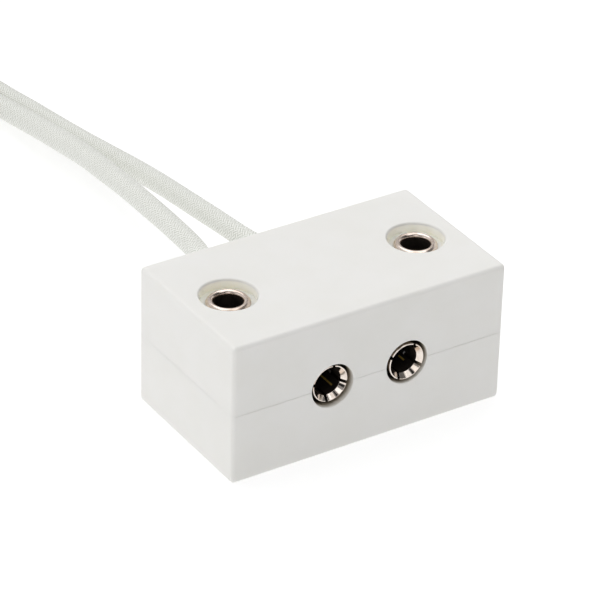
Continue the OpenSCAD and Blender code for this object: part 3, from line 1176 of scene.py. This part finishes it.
    def build_strands(self, finishes: Finishes) -> bpy.types.Object:
        """The strand ends that fill the ferrule and stand a little proud of it.

        Args:
            finishes: The holder's finishes.

        Returns:
            The piece.
        """
        draw = random.Random(7 + self.side.value)
        sides, points, faces = 8, [], []
        for ring_r, count in [(0, 1), (0.27, 6), (0.53, 12)]:
            for strand in range(count):
                top = self.ferrule_len - 0.15 + draw.uniform(0, 0.12)
                a = TURN * strand / count
                base = len(points)
                for z, r in [(0.2, 0.13), (top - 0.03, 0.13), (top, 0.1)]:
                    points += [(ring_r * math.cos(a) + r * math.cos(TURN * k / sides),
                                ring_r * math.sin(a) + r * math.sin(TURN * k / sides), z) for k in range(sides)]
                faces += (ring_faces(3, sides) + base).tolist()
                faces += [[base + k for k in range(sides)][::-1], [base + 2 * sides + k for k in range(sides)]]
        piece = self.at_end(piece_from(f"{self.side.word}_strand_ends", points, faces), self.tip_len)
        finish_mesh(piece, sharp_deg=60)
        piece.data.materials.append(finishes.strand)
        return seat(piece, "block", (), "strand")

    def build(self, finishes: Finishes, ties: Sequence[bpy.types.Object]) -> None:
        """Args:
            finishes: The holder's finishes.
            ties: The ties that go with this lead.
        """
        braid, path = self.build_braid(finishes)
        seat(braid, "block", (f"{self.side.word}_lead", "lead_coil"), "glass_braid")
        on_it = [self.build_tip(finishes), self.build_ferrule(finishes), self.build_strands(finishes), *ties]


@dataclass(frozen=True)
class TapeTie:
    """A woven tape round the wound pair, lapped over itself and stuck down."""

    name: str
    spot: float
    outer_layers: int
    coil: Coil
    width_deg: float = 12.0
    thickness: float = 0.2
    lap: float = 0.22
    slack: float = 0.03

    def outline(self, reach: float, per_arc: int = 10, per_side: int = 6) -> np.ndarray:
        """The closed outline of a tape pulled round the leads, in the coil's radial plane.

        Args:
            reach: Distance of the outline from the leads' middles.
            per_arc: Steps round each corner.
            per_side: Steps along each side.

        Returns:
            Radius and height of each point.
        """
        r, z, d = self.coil.inner_r, self.coil.rest_z + self.coil.lead_r, 2 * self.coil.lead_r
        out = r + self.coil.lead_step
        corners = np.array([(r, z), (out, z), (out, z + d * (self.outer_layers - 1)), (r, z + 2 * d)])
        points = []
        for i, corner in enumerate(corners):
            before, after = corner - corners[i - 1], corners[(i + 1) % 4] - corner
            a0 = math.atan2(before[1], before[0]) - math.pi / 2
            a1 = math.atan2(after[1], after[0]) - math.pi / 2
            a1 += TURN if a1 < a0 else 0
            turn = [corner + reach * np.array([math.cos(a), math.sin(a)]) for a in np.linspace(a0, a1, per_arc + 1)]
            side = [turn[-1] + after * k / per_side for k in range(1, per_side)]
            points += turn + side
        return np.array(points)

    def build(self, finishes: Finishes) -> bpy.types.Object:
        """Builds and dresses the tie.

        Args:
            finishes: The holder's finishes.

        Returns:
            The tie.
        """
        reach = self.coil.lead_r + self.slack
        inner, outer = self.outline(reach), self.outline(reach + self.thickness)
        count = len(inner)
        lapped = round(count * self.lap)
        start = round(count * 0.45)
        rows = []
        for step in range(count + lapped):
            i = (start + step) % count
            lift = ease((step - count + 4) / 4) * (self.thickness + 0.02)
            out = (outer[i] - inner[i]) / self.thickness
            rows.append((inner[i] + out * lift, outer[i] + out * lift))
        half = math.radians(self.width_deg / 2)
        spread = np.linspace(-half, half, 7)
        grid_in, grid_out, lengths = [], [], [0.0]
        draw = random.Random(round(self.spot))
        for k, (low, high) in enumerate(rows):
            if k:
                lengths.append(lengths[-1] + float(np.linalg.norm(high - rows[k - 1][1])))
            stray = draw.uniform(-0.006, 0.006)
            for a in spread + math.radians(self.spot) + stray:
                grid_in.append((self.coil.centre[0] + low[0] * math.cos(a), self.coil.centre[1] + low[0] * math.sin(a), low[1]))
                grid_out.append((self.coil.centre[0] + high[0] * math.cos(a), self.coil.centre[1] + high[0] * math.sin(a), high[1]))
        wide, long = len(spread), len(rows)
        sides = [(k, k + 1) for k in range(wide - 1)]
        faces, uvs = [], []
        offset = len(grid_in)
        across_mm = self.width_deg / 360 * TURN * self.coil.inner_r
        for row in range(long - 1):
            for a, b in sides:
                cell = [row * wide + a, row * wide + b, (row + 1) * wide + b, (row + 1) * wide + a]
                cell_uv = [(a / (wide - 1), lengths[row]), (b / (wide - 1), lengths[row]),
                           (b / (wide - 1), lengths[row + 1]), (a / (wide - 1), lengths[row + 1])]
                faces += [cell, [offset + n for n in cell[::-1]]]
                uvs += cell_uv + cell_uv[::-1]
            for edge in (0, wide - 1):
                low, high = row * wide + edge, (row + 1) * wide + edge
                faces.append([low, high, offset + high, offset + low])
                uvs += [(0, lengths[row]), (0, lengths[row + 1]), (0.02, lengths[row + 1]), (0.02, lengths[row])]
        for row in (0, long - 1):
            for a, b in sides:
                faces.append([row * wide + a, row * wide + b, offset + row * wide + b, offset + row * wide + a])
                uvs += [(a / (wide - 1), 0), (b / (wide - 1), 0), (b / (wide - 1), 0.2), (a / (wide - 1), 0.2)]
        piece = piece_from(f"{self.name}_tape", np.array(grid_in + grid_out), faces, np.array(uvs))
        finish_mesh(piece, sharp_deg=60)
        piece.data.materials.append(finishes.tape)
        seat(piece, "block", (self.name,), "cotton_tape")
        log.info("%s is %.1f mm wide and %.0f mm long", self.name, across_mm, lengths[-1])
        return piece


# ---------------------------------------------------------------- studio


@dataclass(frozen=True)
class Lamp:
    """A square softbox, or a square black card, that faces the block."""

    name: str
    azimuth: float
    elevation: float
    far: float
    size: float
    level: float

    @property
    def pose(self) -> Matrix:
        """Where it stands, with its local Z away from the block, in metres."""
        az, el = math.radians(self.azimuth), math.radians(self.elevation)
        away = Vector((math.sin(az) * math.cos(el), -math.cos(az) * math.cos(el), math.sin(el)))
        return Matrix.Translation(away * self.far) @ away.to_track_quat("Z", "Y").to_matrix().to_4x4()

    def light(self) -> None:
        """Hangs it as a softbox whose face has the given radiance."""
        data = bpy.data.lights.new(self.name, "AREA")
        data.shape, data.size, data.energy = "SQUARE", self.size, self.level * math.pi * self.size**2
        data.color = linear("#FFFFFF")[:3]
        lamp = bpy.data.objects.new(self.name, data)
        lamp.matrix_world = self.pose
        bpy.context.scene.collection.objects.link(lamp)

    def card(self) -> None:
        """Hangs it as a black card, which gives the bright metal something dark to show."""
        half = self.size / 2
        corners = [(-half, -half, 0), (half, -half, 0), (half, half, 0), (-half, half, 0)]
        card = piece_from(self.name, corners, [(0, 1, 2, 3)])
        card.data.transform(self.pose)
        material, tree = blank_material("black_flag_felt")
        felt = add(tree, "ShaderNodeBsdfPrincipled", {"Base Color": linear("#0B0A0A"), "Roughness": 0.95})
        add(tree, "ShaderNodeOutputMaterial", {"Surface": felt.outputs["BSDF"]})
        card.data.materials.append(material)


@dataclass(frozen=True)
class Studio:
    """A white table, soft lamps and the camera."""

    azimuth: float = -33.09
    elevation: float = 31.39
    roll: float = 1.594
    distance: float = 404.5
    slide_x: float = -2.324
    slide_y: float = 3.528
    lens: float = 222.66
    table: float = 6000.0
    table_hex: str = "#BCBCBC"
    table_glow: float = 0.63
    room: float = 0.31
    bright_way: tuple[float, float, float] = (-0.18, 0.38, 0.12)
    lamps: tuple[Lamp, ...] = (
        Lamp("overhead_softbox", 160, 80, 0.8, 1.0, 1.25),
        Lamp("left_softbox", -100, 15, 0.8, 0.4, 0.45),
        Lamp("lens_softbox", -33, 31, 0.6, 0.3, 1.0),
        Lamp("high_front_softbox", 22, 54, 0.7, 0.4, 0.8),
        Lamp("right_softbox", 103, 10, 0.8, 0.4, 1.0))
    flags: tuple[Lamp, ...] = (Lamp("low_flag", -52.4, 8, 0.35, 0.08, 0), Lamp("high_flag", -18.2, 48.4, 0.35, 0.065, 0))

    def camera(self, target: Vector) -> None:
        """Aims the camera at the block's middle.

        Args:
            target: The block's middle, in metres.
        """
        az, el, roll = (math.radians(a) for a in (self.azimuth, self.elevation, self.roll))
        back = Vector((math.sin(az) * math.cos(el), -math.cos(az) * math.cos(el), math.sin(el)))
        side = Vector((math.cos(az), math.sin(az), 0))
        up = back.cross(side)
        right = side * math.cos(roll) + up * math.sin(roll)
        top = up * math.cos(roll) - side * math.sin(roll)
        spot = target + (back * self.distance + right * self.slide_x + top * self.slide_y) * MM
        data = bpy.data.cameras.new("camera")
        data.lens, data.sensor_width, data.clip_start, data.clip_end = self.lens, 36.0, 0.01, 50.0
        camera = bpy.data.objects.new("camera", data)
        camera.matrix_world = Matrix.Translation(spot) @ Matrix((right, top, back)).transposed().to_4x4()
        bpy.context.scene.collection.objects.link(camera)
        bpy.context.scene.camera = camera

    def surroundings(self) -> None:
        """The table, the soft room light and the lamps."""
        half = self.table / 2
        table = piece_from("white_table", [(-half, -half, 0), (half, -half, 0), (half, half, 0), (-half, half, 0)],
                           [(0, 1, 2, 3)])
        table.data.transform(Matrix.Scale(MM, 4))
        material, tree = blank_material("white_table_paper")
        where = add(tree, "ShaderNodeTexCoord").outputs["Object"]
        fibre = add(tree, "ShaderNodeTexNoise", {"Vector": where, "Scale": 900.0, "Detail": 2.0})
        bump = add(tree, "ShaderNodeBump", {"Height": fibre.outputs["Fac"], "Distance": 0.02 * MM, "Strength": 0.1})
        shader = add(tree, "ShaderNodeBsdfPrincipled", {
            "Base Color": linear(self.table_hex), "Roughness": 0.9, "Specular IOR Level": 0.0,
            "Emission Color": linear("#FFFFFF"), "Emission Strength": self.table_glow, "Normal": bump.outputs["Normal"]})
        add(tree, "ShaderNodeOutputMaterial", {"Surface": shader.outputs["BSDF"]})
        table.data.materials.append(material)
        world = bpy.data.worlds.new("soft_room")
        world.use_nodes = True
        tree = world.node_tree
        tree.nodes.clear()
        way = add(tree, "ShaderNodeTexCoord").outputs["Generated"]
        toward = add(tree, "ShaderNodeVectorMath", {0: way, 1: self.bright_way}, operation="DOT_PRODUCT")
        level = add(tree, "ShaderNodeMath", {0: toward.outputs["Value"], 1: self.room}, operation="ADD", use_clamp=True)
        sky = add(tree, "ShaderNodeBackground", {"Color": linear("#FFFFFF"), "Strength": level.outputs[0]})
        add(tree, "ShaderNodeOutputWorld", {"Surface": sky.outputs["Background"]})
        bpy.context.scene.world = world
        for lamp in self.lamps:
            lamp.light()
        for flag in self.flags:
            flag.card()
        view = bpy.context.scene.view_settings
        view.view_transform, view.look = "Standard", "None"


LEFT_ROUTE: ROUTE = (
    (-4.75, 8, 8.5), (-4.7, 12, 8.5), (-4.1, 16, 8.5), (-2.7, 22, 8.4), (-2.2, 28, 8.2), (-1.8, 34, 7.8),
    (-1.3, 40, 7.2), (-0.8, 46, 6.4), (-0.2, 52, 5.4), (0, 58, 4.4), (0, 64, 3.5), (-0.3, 70, 2.7),
    (-0.8, 76, 2.1), (-1.5, 82, 1.8))
RIGHT_ROUTE: ROUTE = (
    (4.75, 8, 8.5), (4.7, 12, 8.5), (4.3, 16, 8.5), (3.5, 22, 8.3), (3.3, 28, 7.8), (3.3, 34, 7.1),
    (3.5, 40, 6.2), (3.6, 46, 5.2), (3.4, 52, 4.3), (3.1, 58, 3.5), (2.8, 64, 2.8), (2.4, 70, 2.3),
    (1.8, 76, 1.9), (1.2, 82, 1.8), (1.1, 85, 1.75))


def main() -> None:
    """Loads the frame, then builds the camera, the leads, the block, the metalwork and the studio."""
    logging.basicConfig(level=logging.INFO, format="%(message)s")
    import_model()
    low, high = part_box("lower_shell")[0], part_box("upper_shell")[1]
    studio = Studio()
    studio.camera((low + high) / 2)
    finishes = Finishes.make()
    coil = Coil()
    ties = [tie.build(finishes) for tie in (TapeTie("near_coil_tie", 20, 3, coil), TapeTie("far_coil_tie", 200, 2, coil))]
    Lead(Side.LEFT, LEFT_ROUTE, coil, coil.inner_r, bunched=0.14).build(finishes, ties)
    Lead(Side.RIGHT, RIGHT_ROUTE, coil, coil.inner_r + coil.lead_step, bunched=0.03).build(finishes, ())
    Block().build(finishes)
    for side in Side:
        Rivet(side).build(finishes)
    for contact in (Contact(Side.LEFT, turn=11, front_y=-9.25), Contact(Side.RIGHT, turn=27, front_y=-9.65, glint_span=(2.0, 3.1))):
        contact.build(finishes)
    studio.surroundings()


if __name__ == "__main__":
    main()
